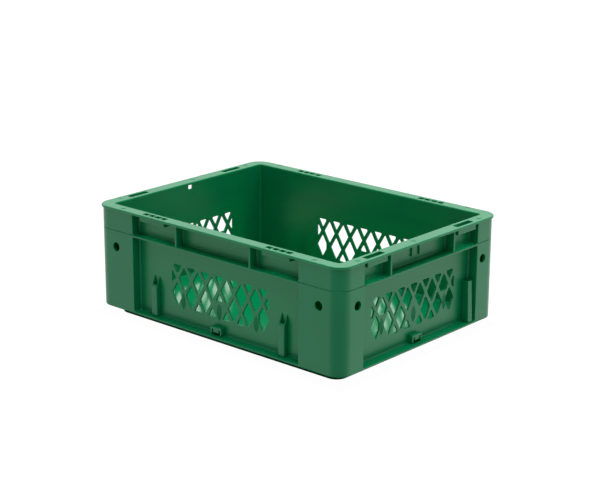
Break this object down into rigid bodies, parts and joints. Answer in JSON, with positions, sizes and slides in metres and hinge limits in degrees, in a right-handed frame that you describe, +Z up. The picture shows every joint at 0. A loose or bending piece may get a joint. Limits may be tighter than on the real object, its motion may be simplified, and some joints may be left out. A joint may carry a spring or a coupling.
{
  "type": "stacking plastic crate",
  "caption": "Open-topped stacking plastic crate with perforated lattice walls, hollow corner posts, a flanged rim and a stepped foot that nests in the rim of the crate below.",
  "frame": {"origin": "centre of the underside of the stacking foot", "axes": "+X along the long sides, +Y towards the back long side, +Z up out of the open top"},
  "size_m": [0.4, 0.3, 0.141],
  "materials": {
    "plastic": "satin moulded polyethylene, dark green"
  },
  "bodies": {
    "root": {"floor_plate": "plastic", "base_grid": "plastic", "foot_front": "plastic", "foot_back": "plastic", "foot_left": "plastic", "foot_right": "plastic", "bottom_flange_front": "plastic", "bottom_flange_back": "plastic", "bottom_flange_left": "plastic", "bottom_flange_right": "plastic", "lower_wall_front": "plastic", "lower_wall_back": "plastic", "lower_wall_left": "plastic", "lower_wall_right": "plastic", "ledge_front": "plastic", "ledge_back": "plastic", "ledge_left": "plastic", "ledge_right": "plastic", "upper_wall_front": "plastic", "upper_wall_back": "plastic", "upper_wall_left": "plastic", "upper_wall_right": "plastic", "upper_ribs_front": "plastic", "upper_ribs_back": "plastic", "upper_ribs_left": "plastic", "upper_ribs_right": "plastic", "corner_post_front_left": "plastic", "corner_post_front_right": "plastic", "corner_post_back_left": "plastic", "corner_post_back_right": "plastic", "rim_front": "plastic", "rim_back": "plastic", "rim_left": "plastic", "rim_right": "plastic", "slot_bars_front": "plastic", "slot_bars_back": "plastic", "rim_pockets_front": "plastic", "rim_pockets_back": "plastic", "rim_pockets_left": "plastic", "rim_pockets_right": "plastic", "wall_pegs_front": "plastic", "wall_pegs_back": "plastic", "wall_pegs_left": "plastic", "wall_pegs_right": "plastic", "label_clip_front": "plastic", "label_clip_back": "plastic", "label_clip_left": "plastic", "label_clip_right": "plastic"}
  },
  "joints": []
}
